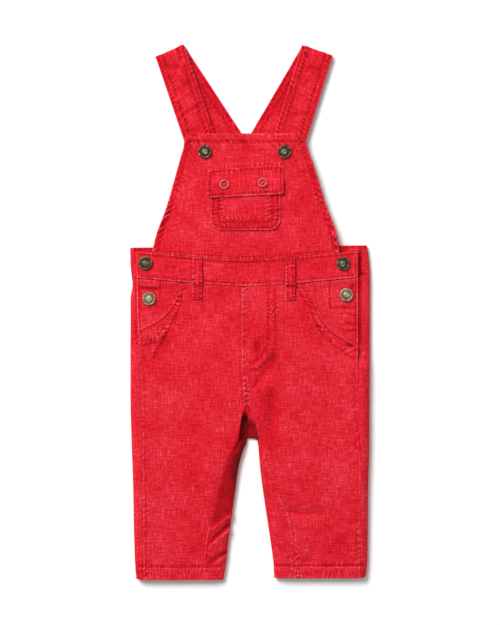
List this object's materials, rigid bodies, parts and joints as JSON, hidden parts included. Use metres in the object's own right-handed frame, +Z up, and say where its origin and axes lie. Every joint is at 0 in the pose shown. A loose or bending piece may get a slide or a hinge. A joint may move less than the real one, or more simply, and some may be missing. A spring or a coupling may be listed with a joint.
{
  "type": "infant bib overalls",
  "caption": "Infant's bib overalls laid flat, front up: bib with a flap pocket, folded shoulder straps, waistband with belt loops, slash pockets and open legs.",
  "frame": {"origin": "middle of the laid garment's length and width, on the surface that it lies on", "axes": "+X towards the wearer's left, +Y towards the shoulders, +Z up out of the surface, through the garment's front"},
  "size_m": [0.2466, 0.5504, 0.017],
  "materials": {
    "cloth": "matte slubbed cotton, piece-dyed red, washed",
    "button_metal": "antiqued, dark in the recess",
    "snap_metal": "copper plated, satin"
  },
  "bodies": {
    "root": {"leg_front_right": "cloth", "leg_front_left": "cloth", "leg_back_right": "cloth", "leg_back_left": "cloth", "hip_facing_right": "cloth", "hip_facing_left": "cloth", "waistband_front": "cloth", "waistband_back": "cloth", "bib": "cloth", "bib_pocket": "cloth", "bib_pocket_flap": "cloth", "belt_loop_right": "cloth", "belt_loop_left": "cloth", "strap_right": "cloth", "strap_left": "cloth", "button_bib_right": "button_metal", "button_bib_left": "button_metal", "button_waist_right": "button_metal", "button_waist_left": "button_metal", "button_side_right": "button_metal", "button_side_left": "button_metal", "snap_right": "snap_metal", "snap_left": "snap_metal"}
  },
  "joints": []
}
